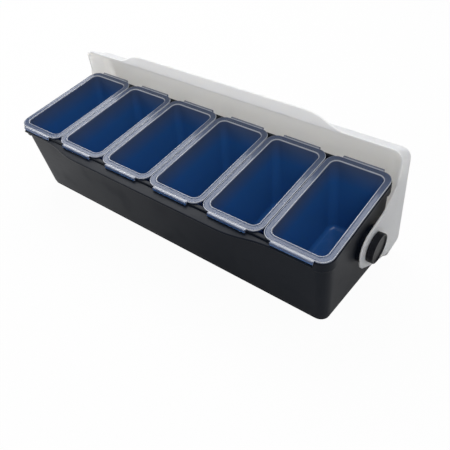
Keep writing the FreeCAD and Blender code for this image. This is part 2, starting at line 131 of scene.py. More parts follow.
def rounded_loops(half_x: np.ndarray, half_y: np.ndarray, radius: np.ndarray, steps: int = 8) -> np.ndarray:
    """Rounded rectangles, one a row: quarter arcs about the corner centres, straight runs between.

    Args:
        half_x: half lengths.
        half_y: half widths.
        radius: corner radii.
        steps: steps of each quarter arc.

    Returns:
        Array of rows, points and two coordinates, anticlockwise.
    """
    half_x, half_y, radius = np.broadcast_arrays(*np.atleast_1d(half_x, half_y, radius))
    turns = np.linspace(0.0, math.pi / 2, steps + 1) + np.arange(4)[:, None] * math.pi / 2
    signs = np.array([[1, 1], [-1, 1], [-1, -1], [1, -1]])
    centres = signs * np.stack([half_x - radius, half_y - radius], axis=-1)[:, None, :]
    arms = np.stack([np.cos(turns), np.sin(turns)], axis=-1)
    arcs = centres[:, :, None, :] + radius[:, None, None, None] * arms
    run_start = arcs[:, :, -1:, :]
    run_end = np.roll(arcs[:, :, :1, :], -1, axis=1)
    runs = run_start + RUN_SHARES[:, None] * (run_end - run_start)
    return np.concatenate([arcs, runs], axis=2).reshape(len(half_x), -1, 2)


def bend(start: float, end: float, steps: int = 6) -> tuple[np.ndarray, np.ndarray]:
    """Cosine and sine along an arc.

    Args:
        start: first angle in degrees.
        end: last angle in degrees.
        steps: steps along the arc.

    Returns:
        The cosines and the sines.
    """
    turns = np.radians(np.linspace(start, end, steps + 1))
    return np.cos(turns), np.sin(turns)


def rounded_outline(corners: np.ndarray, radii: np.ndarray, steps: int = 5) -> np.ndarray:
    """Closed polygon with each corner rounded by an arc that touches both of its sides.

    Args:
        corners: polygon corners, anticlockwise.
        radii: radius at each corner.
        steps: steps of each arc.

    Returns:
        Points of the rounded outline.
    """
    before = np.roll(corners, 1, axis=0) - corners
    after = np.roll(corners, -1, axis=0) - corners
    before = before / np.linalg.norm(before, axis=1, keepdims=True)
    after = after / np.linalg.norm(after, axis=1, keepdims=True)
    half = np.arccos(np.clip(np.sum(before * after, axis=1), -1, 1)) / 2
    reach = (radii / np.tan(half))[:, None]
    middle = before + after
    middle = middle / np.linalg.norm(middle, axis=1, keepdims=True)
    centres = corners + middle * (radii / np.sin(half))[:, None]
    first = corners + before * reach - centres
    last = corners + after * reach - centres
    sweep = np.arctan2(first[:, 0] * last[:, 1] - first[:, 1] * last[:, 0], np.sum(first * last, axis=1))
    turns = sweep[:, None] * np.linspace(0, 1, steps + 1)
    cos, sin = np.cos(turns), np.sin(turns)
    x = centres[:, :1] + first[:, :1] * cos - first[:, 1:] * sin
    y = centres[:, 1:] + first[:, :1] * sin + first[:, 1:] * cos
    return np.stack([x, y], axis=-1).reshape(-1, 2)


def drawn_in(outline: np.ndarray, inset: np.ndarray) -> np.ndarray:
    """Copies of an anticlockwise outline, each point moved inwards along the mean normal of its two sides.

    Args:
        outline: points of the outline.
        inset: one distance for each copy.

    Returns:
        Array of copies, points and two coordinates.
    """
    run = np.roll(outline, -1, axis=0) - np.roll(outline, 1, axis=0)
    inward = np.stack([-run[:, 1], run[:, 0]], axis=-1)
    inward = inward / np.linalg.norm(inward, axis=1, keepdims=True)
    return outline + inset[:, None, None] * inward


def edge_distance(x: np.ndarray, y: np.ndarray, half_x: float, half_y: float, radius: float) -> np.ndarray:
    """Distance out from a rounded rectangle: from its inner box, less the corner radius; minus inside.

    Args:
        x: places along x from its middle.
        y: places along y from its middle.
        half_x: half length.
        half_y: half width.
        radius: corner radius.

    Returns:
        The distances.
    """
    over_x, over_y = np.abs(x) - (half_x - radius), np.abs(y) - (half_y - radius)
    outside = np.hypot(np.maximum(over_x, 0.0), np.maximum(over_y, 0.0))
    return outside + np.minimum(np.maximum(over_x, over_y), 0.0) - radius


@dataclass(frozen=True)
class WavyLip:
    """Flat strip with a round nose that reaches further out in the middle of the row than at its ends."""

    root: float
    near: float
    far: float
    half_flat: float
    run: float
    half: float
    low: float
    high: float
    nose: float
    points: int
    root_round: float = 0.05

    def reach(self, x: np.ndarray) -> np.ndarray:
        """Reach along the row: far in the middle, then two equal and opposite arcs in to near at each end.

        Args:
            x: places along the row.

        Returns:
            The reach at each place.
        """
        gain, middle = self.far - self.near, self.run / 2
        turn = (self.run ** 2 + gain ** 2) / (4 * gain)
        along = np.clip(np.abs(x) - self.half_flat, 0.0, self.run)
        first = self.far - turn + np.sqrt(turn ** 2 - np.minimum(along, middle) ** 2)
        last = self.near + turn - np.sqrt(turn ** 2 - np.minimum(self.run - along, middle) ** 2)
        return np.where(along < middle, first, last)

    def sections(self) -> tuple[np.ndarray, np.ndarray, np.ndarray]:
        """Sections across the lip: one short strip, its nose moved out to the reach at each place.

        Returns:
            Place along the row, distance out and height, as arrays of sections and points.
        """
        x = np.linspace(-self.half, self.half, self.points)
        length = 4 * self.nose
        corners = np.array([(0.0, self.low), (length, self.low), (length, self.high), (0.0, self.high)])
        strip = rounded_outline(corners, np.array([self.root_round, self.nose, self.nose, self.root_round]))
        over = (self.reach(x) - self.root - length)[:, None]
        out = self.root + strip[:, 0] + np.where(strip[:, 0] > length / 2, over, 0.0)
        return tuple(np.broadcast_arrays(x[:, None], out, strip[:, 1]))


class Skin:
    """Gathers grid patches into one closed mesh."""

    def __init__(self) -> None:
        """Start with no points."""
        self.points: list[np.ndarray] = []
        self.faces: list[list[int]] = []
        self.count = 0

    def grid(self, points: np.ndarray, wrap: bool = True) -> "Skin":
        """Add a grid of points as quads.

        Args:
            points: rows of points; each row is one loop or one line.
            wrap: whether each row closes on itself.

        Returns:
            This skin.
        """
        rows, columns = points.shape[:2]
        index = np.arange(rows * columns).reshape(rows, columns) + self.count
        beside = np.roll(index, -1, axis=1)
        if not wrap:
            index, beside = index[:, :-1], beside[:, :-1]
        quads = np.stack([index[:-1], beside[:-1], beside[1:], index[1:]], axis=-1)
        self.points.append(points.reshape(-1, 3))
        self.faces += quads.reshape(-1, 4).tolist()
        self.count += rows * columns
        return self

    def cap(self, loop: np.ndarray) -> "Skin":
        """Close a flat loop with one face.

        Args:
            loop: points of the loop.

        Returns:
            This skin.
        """
        self.points.append(loop)
        self.faces.append(list(range(self.count, self.count + len(loop))))
        self.count += len(loop)
        return self

    def tube(self, points: np.ndarray) -> "Skin":
        """Add a closed solid: a grid of loops with a cap on its first and last loop."""
        return self.grid(points).cap(points[0]).cap(points[-1])

    def mesh(self, name: str) -> bpy.types.Mesh:
        """Make the mesh, with its doubles merged and its faces turned outwards.

        Args:
            name: name of the mesh.

        Returns:
            The mesh.
        """
        made = bpy.data.meshes.new(name)
        made.from_pydata(np.concatenate(self.points).tolist(), [], self.faces)
        work = bmesh.new()
        work.from_mesh(made)
        bmesh.ops.remove_doubles(work, verts=work.verts, dist=MERGE)
        bmesh.ops.recalc_face_normals(work, faces=work.faces)
        work.to_mesh(made)
        work.free()
        return made


class Cut(Enum):
    """How a closed mesh changes the one before it."""

    ADD = "UNION"
    TAKE = "DIFFERENCE"


def united(
    name: str, meshes: list[bpy.types.Mesh], holes: list[bpy.types.Mesh] | None = None,
) -> bpy.types.Object:
    """Join closed meshes into one solid, shaded smooth except at its sharp edges.

    Args:
        name: name of the finished piece.
        meshes: closed meshes; the first takes in the others.
        holes: closed meshes that are taken out at the end.

    Returns:
        The piece, at the origin and linked to the scene.
    """
    collection = bpy.context.scene.collection
    base = bpy.data.objects.new(f"{name}_base", meshes[0])
    collection.objects.link(base)
    others = []
    steps = [(Cut.ADD, mesh) for mesh in meshes[1:]] + [(Cut.TAKE, mesh) for mesh in holes or []]
    for index, (cut, mesh) in enumerate(steps):
        other = bpy.data.objects.new(f"{name}_step_{index}", mesh)
        collection.objects.link(other)
        join = base.modifiers.new(f"step_{index}", "BOOLEAN")
        join.operation = cut.value
        join.solver = "MANIFOLD"
        join.object = other
        others.append(other)
    graph = bpy.context.evaluated_depsgraph_get()
    made = bpy.data.meshes.new_from_object(base.evaluated_get(graph))
    made.name = name
    made.materials.clear()
    for spare in (base, *others):
        bpy.data.objects.remove(spare)
    made.shade_smooth()
    made.set_sharp_from_angle(angle=SMOOTH_ANGLE)
    piece = bpy.data.objects.new(name, made)
    collection.objects.link(piece)
    even = piece.modifiers.new("even_shade", "WEIGHTED_NORMAL")
    even.keep_sharp = True
    return piece


def hinge_loops(side: Side, axial: np.ndarray, radius: np.ndarray, steps: int = 72) -> np.ndarray:
    """Circles about the hinge axis, one a row.

    Args:
        side: end of the row.
        axial: distance of each circle from the middle of the row.
        radius: radius of each circle.
        steps: points of a circle.

    Returns:
        Points in metres: the axis point plus the radius turned about x.
    """
    turns = np.linspace(0.0, 2 * math.pi, steps, endpoint=False)
    back = PIVOT_BACK + radius[:, None] * np.cos(turns)
    return RIM.place(side.value * axial[:, None], back, radius[:, None] * np.sin(turns) - PIVOT_DROP)


def points_of(mesh: bpy.types.Mesh) -> np.ndarray:
    """Read the vertex positions of a mesh.

    Args:
        mesh: the mesh.

    Returns:
        One row a vertex, in metres.
    """
    flat = np.empty(len(mesh.vertices) * 3, np.float32)
    mesh.vertices.foreach_get("co", flat)
    return flat.reshape(-1, 3).astype(float)


def mark(mesh: bpy.types.Mesh, name: str, values: np.ndarray) -> None:
    """Store one number a vertex under a name."""
    attribute = mesh.attributes.new(name, "FLOAT", "POINT")
    attribute.data.foreach_set("value", values.astype(np.float32))


class Tree:
    """Short way to add and join shader nodes."""

    def __init__(self, tree: bpy.types.NodeTree) -> None:
        """Keep the node tree."""
        self.tree = tree

    def add(self, kind: str, inputs: dict | None = None, **settings: object) -> bpy.types.Node:
        """Add a node.

        Args:
            kind: node type.
            inputs: socket values, or the sockets that feed them, by name or index.
            settings: node properties.

        Returns:
            The new node.
        """
        node = self.tree.nodes.new(kind)
        for name, setting in settings.items():
            setattr(node, name, setting)
        for key, value in (inputs or {}).items():
            if isinstance(value, bpy.types.NodeSocket):
                self.tree.links.new(value, node.inputs[key])
            else:
                node.inputs[key].default_value = value
        return node

    def mix(
        self, share: bpy.types.NodeSocket, first: bpy.types.NodeSocket, second: bpy.types.NodeSocket | Colour,
    ) -> bpy.types.NodeSocket:
        """Blend two colours.

        Args:
            share: socket that says how much of the second colour shows.
            first: socket of the first colour.
            second: socket of the second colour, or the colour.

        Returns:
            The socket of the blended colour.
        """
        second = (*second, 1.0) if isinstance(second, tuple) else second
        inputs = {MIX_SHARE: share, MIX_FIRST: first, MIX_SECOND: second}
        return self.add("ShaderNodeMix", inputs, data_type="RGBA").outputs[MIX_RESULT]

    def math(self, operation: str, first: object, second: object = 0.0) -> bpy.types.NodeSocket:
        """Combine two numbers."""
        return self.add("ShaderNodeMath", {0: first, 1: second}, operation=operation).outputs[0]


class Effects:
    """Shader node groups that several finishes share."""

    def __init__(self) -> None:
        """Build each group once."""
        self.grain = self._grain()
        self.handling = self._handling()

    @staticmethod
    def _open(name: str, inputs: Sockets, outputs: Sockets) -> tuple[Tree, bpy.types.Node, bpy.types.Node]:
        """Make an empty group with named sockets.

        Args:
            name: name of the group.
            inputs: kind of each input socket, by its label.
            outputs: kind of each output socket, by its label.

        Returns:
            The group's tree, its input node and its output node.
        """
        group = bpy.data.node_groups.new(name, "ShaderNodeTree")
        for way, sockets in (("INPUT", inputs), ("OUTPUT", outputs)):
            for label, kind in sockets.items():
                group.interface.new_socket(label, in_out=way, socket_type=kind)
        tree = Tree(group)
        return tree, tree.add("NodeGroupInput"), tree.add("NodeGroupOutput")

    def _grain(self) -> bpy.types.NodeTree:
        """Moulded skin: slow mottling of the colour and roughness, and a fine grain in height.

        Returns:
            The group. The colour goes from plain to deep by the slow noise times the mottle, and the roughness
            swings by the same noise times the spread.
        """
        tree, take, give = self._open(
            "moulded_grain",
            {"Colour": "NodeSocketColor", "Deep Colour": "NodeSocketColor", "Mottle": "NodeSocketFloat",
             "Scale": "NodeSocketFloat", "Roughness": "NodeSocketFloat", "Spread": "NodeSocketFloat"},
            {"Colour": "NodeSocketColor", "Roughness": "NodeSocketFloat", "Height": "NodeSocketFloat"})
        spot = tree.add("ShaderNodeTexCoord").outputs["Object"]
        slow = tree.add("ShaderNodeTexNoise", {"Vector": spot, "Scale": 14.0, "Detail": 3.0}).outputs[0]
        fine = tree.add("ShaderNodeTexNoise", {
            "Vector": spot, "Scale": take.outputs["Scale"], "Detail": 2.0}).outputs[0]
        share = tree.math("MULTIPLY", slow, take.outputs["Mottle"])
        colour = tree.mix(share, take.outputs["Colour"], take.outputs["Deep Colour"])
        swing = tree.math("MULTIPLY", tree.math("SUBTRACT", slow, 0.5), take.outputs["Spread"])
        rough = tree.math("ADD", take.outputs["Roughness"], swing)
        for label, socket in (("Colour", colour), ("Roughness", rough), ("Height", fine)):
            tree.tree.links.new(socket, give.inputs[label])
        return tree.tree

    def _handling(self) -> bpy.types.NodeTree:
        """Hairline scuffs and dull finger marks: stretched noise cut to thin lines, and soft blots.

        Returns:
            The group. Both marks are scaled by the amount.
        """
        tree, take, give = self._open(
            "handling_marks",
            {"Amount": "NodeSocketFloat", "Scale": "NodeSocketFloat"},
            {"Scuff": "NodeSocketFloat", "Blot": "NodeSocketFloat"})
        spot = tree.add("ShaderNodeTexCoord").outputs["Object"]
        drawn = tree.add("ShaderNodeMapping", {"Vector": spot, "Rotation": (0.3, 0.5, 0.7), "Scale": (1.0, 9.0, 9.0)})
        lines = tree.add("ShaderNodeTexNoise", {
            "Vector": drawn.outputs[0], "Scale": take.outputs["Scale"], "Detail": 4.0}).outputs[0]
        thin = tree.add("ShaderNodeMapRange", {"Value": lines, "From Min": 0.62, "From Max": 0.72}).outputs[0]
        soft = tree.add("ShaderNodeTexNoise", {"Vector": spot, "Scale": 26.0, "Detail": 1.0}).outputs[0]
        blot = tree.add("ShaderNodeMapRange", {"Value": soft, "From Min": 0.55, "From Max": 0.75}).outputs[0]
        for label, socket in (("Scuff", thin), ("Blot", blot)):
            tree.tree.links.new(tree.math("MULTIPLY", socket, take.outputs["Amount"]), give.inputs[label])
        return tree.tree


@dataclass(frozen=True)
class Finish:
    """One moulded or turned finish, with its colour, gloss and fine relief. Lengths are in metres."""

    name: str
    colour: Colour
    deep: Colour
    roughness: float
    mottle: float = 0.35
    spread: float = 0.1
    grain: float = 900.0
    relief: float = 0.00002
    scuffs: float = 0.3
    specular: float = 0.5
    metallic: float = 0.0
    transmission: float = 0.0
    subsurface: float = 0.0
    radius: float = 0.006
    ior: float = 1.46
    # Painted reflection: tone that the rim mark lays on a pan's flange.
    painted_reflection_colour: Colour | None = None
    # Painted highlight: tone that the edge mark lays on the bead crests and tab hems.
    painted_highlight_colour: Colour | None = None
    scatter: Colour = (1.0, 1.0, 1.0)
    scuff_scale: float = 60.0
    dulling: float = 0.25
    relief_strength: float = 0.5

    def build(self, effects: Effects) -> bpy.types.Material:
        """Make the material.

        Args:
            effects: the shared node groups.

        Returns:
            The finished material.
        """
        made = bpy.data.materials.new(self.name)
        made.use_nodes = True
        made.node_tree.nodes.clear()
        tree = Tree(made.node_tree)
        grain = tree.add("ShaderNodeGroup", {
            "Colour": (*self.colour, 1.0), "Deep Colour": (*self.deep, 1.0), "Mottle": self.mottle,
            "Scale": self.grain, "Roughness": self.roughness, "Spread": self.spread}, node_tree=effects.grain)
        marks = tree.add("ShaderNodeGroup", {
            "Amount": self.scuffs, "Scale": self.scuff_scale}, node_tree=effects.handling)
        colour = grain.outputs["Colour"]
        # The rim tone is a painted reflection and the edge tone a painted highlight, each laid on by its mark.
        for name, tone in (("rim", self.painted_reflection_colour), ("edge", self.painted_highlight_colour)):
            if tone:
                share = tree.add("ShaderNodeAttribute", attribute_name=name).outputs["Fac"]
                colour = tree.mix(share, colour, tone)
        worn = tree.math("ADD", marks.outputs["Scuff"], marks.outputs["Blot"])
        rough = tree.math("ADD", grain.outputs["Roughness"], tree.math("MULTIPLY", worn, self.dulling))
        bump = tree.add("ShaderNodeBump", {
            "Height": grain.outputs["Height"], "Distance": self.relief, "Strength": self.relief_strength})
        skin = tree.add("ShaderNodeBsdfPrincipled", {
            "Base Color": colour, "Roughness": rough, "Normal": bump.outputs[0], "Metallic": self.metallic,
            "IOR": self.ior, "Transmission Weight": self.transmission, "Specular IOR Level": self.specular,
            "Subsurface Weight": self.subsurface, "Subsurface Radius": self.scatter, "Subsurface Scale": self.radius})
        out = tree.add("ShaderNodeOutputMaterial")
        made.node_tree.links.new(skin.outputs[0], out.inputs[0])
        return made


FINISHES = {
    "tub_black": Finish("satin_black", (0.003, 0.0055, 0.0115), (0.002, 0.004, 0.008), 0.36, specular=0.13),
    "lid_milky": Finish(
        "milky_lid", (0.94, 0.94, 0.93), (0.9, 0.9, 0.89), 0.42, transmission=0.18, subsurface=1.0, radius=0.012,
        scatter=(1.0, 0.96, 0.88), mottle=0.5, scuffs=0.2, ior=1.35),
    # The pans' rim tone is a painted reflection on the flange, their edge tone a painted highlight.
    "insert_tint": Finish(
        "tinted_pan", (0.04, 0.18, 0.52), (0.03, 0.14, 0.44), 0.16, transmission=0.45, specular=0.22, mottle=0.6,
        spread=0.03, scuffs=0.015, relief=0.000002, painted_reflection_colour=(0.1, 0.135, 0.23), painted_highlight_colour=(0.9, 0.92, 0.97)),
    "knob_black": Finish("knob_black", (0.006, 0.007, 0.01), (0.01, 0.01, 0.012), 0.35, grain=500.0, specular=0.12),
    "stud_steel": Finish("stud_steel", (0.62, 0.63, 0.64), (0.5, 0.51, 0.52), 0.3, metallic=1.0, grain=1400.0),
    "bush_nylon": Finish("bush_nylon", (0.86, 0.85, 0.8), (0.8, 0.78, 0.7), 0.5, subsurface=0.2),
    "thread_brass": Finish("thread_brass", (0.72, 0.56, 0.27), (0.6, 0.44, 0.2), 0.32, metallic=1.0, grain=1400.0),
}


# Section of a pan's flange, as distance out from the mouth and height. The beads are measured from the top of the
# flange, the channel from its own floor and the under edge from the rim plane.
INNER_BEAD = np.array([(0.0, -0.6), (0.06, -0.3), (0.25, -0.08), (0.55, 0.0), (1.3, 0.0), (1.6, -0.1)])
CHANNEL = np.array([(1.9, 0.1), (2.2, 0.0), (5.3, 0.0), (5.6, 0.1)])
OUTER_BEAD = np.array([(5.9, -0.1), (6.15, 0.0), (6.45, 0.0), (6.75, -0.08), (6.94, -0.3), (7.0, -0.6)])
UNDER_EDGE = np.array([(7.0, 0.36), (6.9, 0.14), (6.7, 0.06)])
# Sections along a pan's tab: share of its half length, and size there as a share of the full section.
TAB_SECTIONS = np.array([(-1.0, 0.86), (-0.995, 0.96), (-0.985, 1.0), (0.985, 1.0), (0.995, 0.96), (1.0, 0.86)])
TAB_ROUNDS = np.array([0.1, 0.05, 0.05, 0.5, 0.7, 0.8, 0.1])


@dataclass(frozen=True)
class Pan:
    """Lift-out pan: tapered walls, a flange with a raised bead at each edge, and a hooked tab at each end."""

    number: int
    pitch: float = 76.0
    mouth_x: float = 30.5
    mouth_y: float = 62.5
    mouth_round: float = 8.0
    floor_x: float = 23.0
    floor_y: float = 46.0
    floor_round: float = 10.0
    depth: float = 86.0
    wall: float = 1.8
    flange: float = 7.0
    flange_round: float = 13.0
    thickness: float = 2.2
    sink: float = 0.35
    cove: float = 5.0
    least_round: float = 1.0
    wall_rows: int = 4
    wall_top: float = 1.4
    heel_top: float = 8.0
    tab_half: float = 23.5
    tab_root: float = 66.5
    tab_inner: float = 71.2
    tab_outer: float = 73.1
    tab_drop: float = 1.6
    tab_under: float = 0.4
    tab_bevel: float = 0.3
    tab_notch: float = 0.1
    tab_fall: float = 0.7
    rim_start: float = 1.0
    rim_blend: float = 1.5
    crest_inset: float = 0.2
    crest_width: float = 0.6
    crest_drop: float = 0.7
    hem_margin: float = 0.2
    hem_height: float = 0.4

    @property
    def centre(self) -> float:
        """Middle of the pan along the row."""
        return (self.number - (PAN_COUNT + 1) / 2) * self.pitch

    def _wall_loops(self, rise: np.ndarray, inset: np.ndarray) -> np.ndarray:
        """Loops of the tapered wall: the floor's sizes plus a share of the way to the mouth's, less an inset.

        Args:
            rise: height of each loop above the inside floor.
            inset: how far each loop is moved in.

        Returns:
            Points in metres.
        """
        share = rise / self.depth
        half_x = self.floor_x + (self.mouth_x - self.floor_x) * share - inset
        half_y = self.floor_y + (self.mouth_y - self.floor_y) * share - inset
        radius = self.floor_round + (self.mouth_round - self.floor_round) * share - inset
        loops = rounded_loops(half_x, half_y, np.maximum(radius, self.least_round))
        level = self.thickness - self.depth + rise
        return RIM.place(self.centre + loops[..., 0], loops[..., 1], level[:, None])

    def _flange_loops(self, out: np.ndarray, level: np.ndarray) -> np.ndarray:
        """Loops of the flange, their corners growing rounder from the mouth outwards.

        Args:
            out: distance of each loop out from the mouth.
            level: height of each loop above the rim plane.

        Returns:
            Points in metres.
        """
        radius = self.mouth_round + (self.flange_round - self.mouth_round) * out / self.flange
        loops = rounded_loops(self.mouth_x + out, self.mouth_y + out, radius)
        return RIM.place(self.centre + loops[..., 0], loops[..., 1], level[:, None])

    def _bowl(self) -> bpy.types.Mesh:
        """Closed shell, from the inside floor up, over the flange and down the outside.

        The floor turns into the wall on a quarter circle. Across the flange the height is a bead, a
        sunk flat and a second bead.

        Returns:
            The mesh of the shell.
        """
        cos, sin = bend(0.0, 90.0)
        floor = self._wall_loops(self.cove * (1 - cos), self.cove * (1 - sin))
        rise = np.linspace(self.cove * 2, self.depth - self.wall_top, self.wall_rows)
        inside = self._wall_loops(rise, np.zeros(self.wall_rows))
        top, low = (0.0, self.thickness), (0.0, self.thickness - self.sink)
        section = np.concatenate([INNER_BEAD + top, CHANNEL + low, OUTER_BEAD + top, UNDER_EDGE])
        flange = self._flange_loops(section[:, 0], section[:, 1])
        under = self._wall_loops(np.array([self.depth - self.thickness, self.heel_top]), np.full(2, -self.wall))
        cos, sin = bend(90.0, 0.0)
        heel_size = self.cove + self.wall
        heel = self._wall_loops(heel_size * (1 - cos) - self.wall, heel_size * (1 - sin) - self.wall)
        rows = np.concatenate([floor, inside, flange, under, heel])
        return Skin().tube(rows).mesh(f"pan_{self.number}_bowl")

    def _tab(self, end: End) -> bpy.types.Mesh:
        """Hooked tab: an angle section with rounded corners, carried along the row and smaller at both ends.

        Args:
            end: end of the pan.

        Returns:
            The mesh of the tab.
        """
        corners = np.array([
            (self.tab_root, self.tab_under), (self.tab_inner - self.tab_bevel, self.tab_under),
            (self.tab_inner, self.tab_notch), (self.tab_inner, -self.tab_drop), (self.tab_outer, -self.tab_drop),
            (self.tab_outer, self.thickness), (self.tab_root, self.thickness - self.tab_fall)])
        outline = rounded_outline(corners, TAB_ROUNDS)
        middle = outline.mean(axis=0)
        along = TAB_SECTIONS[:, :1] * self.tab_half
        section = middle + (outline - middle) * TAB_SECTIONS[:, 1, None, None]
        rows = RIM.place(self.centre + along, end.value * section[..., 0], section[..., 1])
        return Skin().tube(rows).mesh(f"pan_{self.number}_tab_{end.name.lower()}")

    def _mark(self, mesh: bpy.types.Mesh) -> None:
        """Mark the rim for a painted reflection and the pale edges for a painted highlight.

        The rim mark, for the painted reflection, rises to 1 from just below the flange. The edge mark, for the
        painted highlight, falls from 1 with the distance from the crest of either bead, and is 1 on the hems of the
        tabs.

        Args:
            mesh: mesh of the pan.
        """
        x, t, n = RIM.read(points_of(mesh))
        x = x - self.centre
        # Painted reflection: the rim mark gives the flange a greyer blue.
        mark(mesh, "rim", np.clip((n + self.rim_start) / self.rim_blend, 0.0, 1.0))
        inner = edge_distance(x, t, self.mouth_x, self.mouth_y, self.mouth_round)
        outer = edge_distance(x, t, self.mouth_x + self.flange, self.mouth_y + self.flange, self.flange_round)
        near = np.minimum(np.abs(inner - self.crest_inset), np.abs(outer + self.crest_inset))
        crest = np.clip(1.0 - near / self.crest_width, 0.0, 1.0) * (n > self.thickness - self.crest_drop)
        hem = (np.abs(t) > self.tab_inner - self.hem_margin) & (n < self.hem_height - self.tab_drop)
        # Painted highlight: the edge mark turns the bead crests and tab hems near white.
        mark(mesh, "edge", np.maximum(crest, hem))

    def build(self, material: bpy.types.Material) -> bpy.types.Object:
        """Make the pan, mark its rim and let it stand for its solid.

        Args:
            material: finish of the pan.

        Returns:
            The pan.
        """
        piece = united(f"pan_{self.number}", [self._bowl(), *(self._tab(end) for end in End)])
        self._mark(piece.data)
        piece.data.materials.append(material)
        node = f"insert_{self.number}"
        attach(piece, f"{node}_body")
        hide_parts(node)
        return piece


@dataclass(frozen=True)
class Taper:
    """Ruled wall from a level rounded rectangle near the table up to one on the rim plane."""

    low: Triple
    level: float
    high: Triple

    def loops(self, share: np.ndarray, inset: np.ndarray) -> np.ndarray:
        """Loops of the wall: the low loop plus a share of the way to the high one, both drawn in by an inset.

        Args:
            share: share of the way up, one a loop.
            inset: draw-in of each loop.

        Returns:
            Points in metres.
        """
        share, inset = np.broadcast_arrays(*np.atleast_1d(share, inset))
        low = rounded_loops(*(size - inset for size in self.low))
        high = rounded_loops(*(size - inset for size in self.high))
        foot = np.stack([low[..., 0], low[..., 1], np.full_like(low[..., 0], self.level)], axis=-1) * MM
        brim = RIM.place(high[..., 0], high[..., 1], 0.0)
        return foot + share[:, None, None] * (brim - foot)


# Rows of the tub: share of the way up inside, share and draw-in outside, distance out and height under the rim,
# draw-in and height of the plinth.
INSIDE_SHARES = np.array([0.06, 0.5, 0.9, 0.98])
OUTSIDE_ROWS = np.array([
    (0.965, 0.0), (0.93, 0.0), (0.5, 0.0), (0.06, 0.0), (0.02, 0.0), (0.008, 0.12), (0.002, 0.5)])
RIM_FOOT = np.array([(3.2, -3.0), (2.85, -3.15)])
PLINTH = np.array([(0.0, 2.95), (0.0, 0.5), (0.15, 0.15), (0.5, 0.0)])


